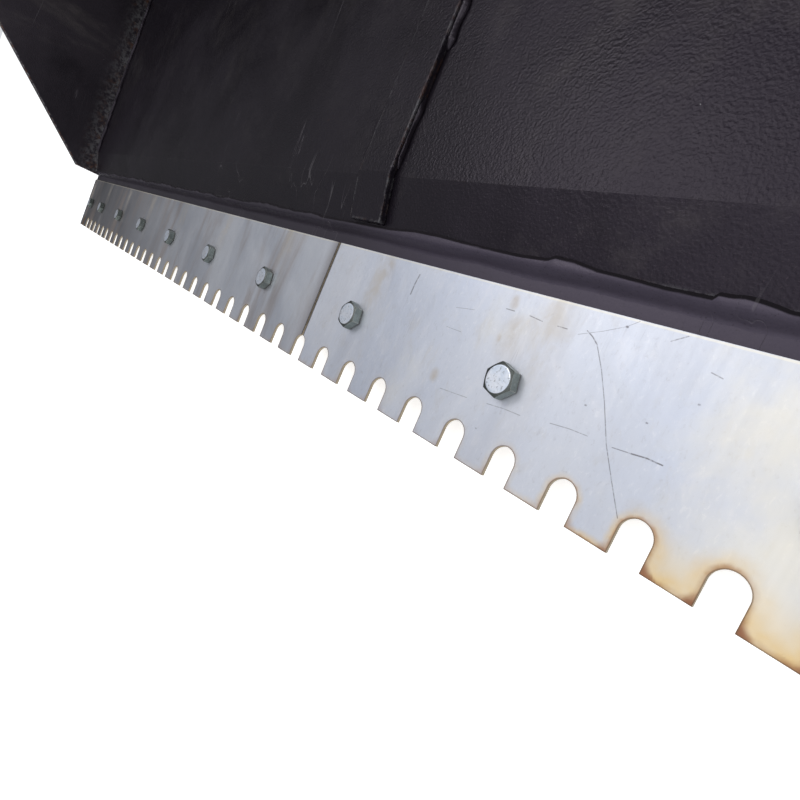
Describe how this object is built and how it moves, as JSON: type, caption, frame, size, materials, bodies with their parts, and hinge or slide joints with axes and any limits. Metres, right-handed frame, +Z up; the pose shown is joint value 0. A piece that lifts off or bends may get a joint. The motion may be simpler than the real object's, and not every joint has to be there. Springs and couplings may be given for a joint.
{
  "type": "skid steer bucket",
  "caption": "Wide low loader bucket: folded floor and back, side plates, quick-attach hitch, and a thin serrated steel edge bolted along the lip.",
  "frame": {"origin": "on the ground, at the middle of the bounding box in X and Y", "axes": "+X across the bucket, to the right when its teeth point at the viewer; -Y towards the teeth, +Y towards the hitch; +Z up"},
  "size_m": [2.056, 0.79, 0.556],
  "materials": {
    "bucket_paint": "black textured powder coat, scuffed",
    "lip_paint": "black paint over plate, smoother and greyer than the floor",
    "wear_paint": "black paint worn through along its edges",
    "hitch_paint": "black paint, rubbed where the carrier bears",
    "bare_steel": "bare mill-finish sheet steel, streaked, with heat tint at the cut edges",
    "bolt_zinc": "dull zinc plate"
  },
  "bodies": {
    "root": {"lip_plate": "lip_paint", "serrated_edge_left": "bare_steel", "serrated_edge_right": "bare_steel", "edge_bolts_left": "bolt_zinc", "edge_bolts_right": "bolt_zinc", "floor_and_back": "bucket_paint", "top_channel": "bucket_paint", "side_plate_left": "bucket_paint", "side_plate_right": "bucket_paint", "side_edge_left": "wear_paint", "side_edge_right": "wear_paint", "heel_shoe_left": "wear_paint", "heel_shoe_right": "wear_paint", "centre_strap": "bucket_paint", "heel_wear_plate": "wear_paint", "hitch_top_rail": "bucket_paint", "hitch_ledge": "bucket_paint", "wear_bar_1": "wear_paint", "wear_bar_2": "wear_paint", "wear_bar_3": "wear_paint", "wear_bar_4": "wear_paint", "hitch_pad_left": "hitch_paint", "hitch_rib_left_outer": "bucket_paint", "hitch_rib_left_inner": "bucket_paint", "hitch_pad_right": "hitch_paint", "hitch_rib_right_outer": "bucket_paint", "hitch_rib_right_inner": "bucket_paint"}
  },
  "joints": []
}
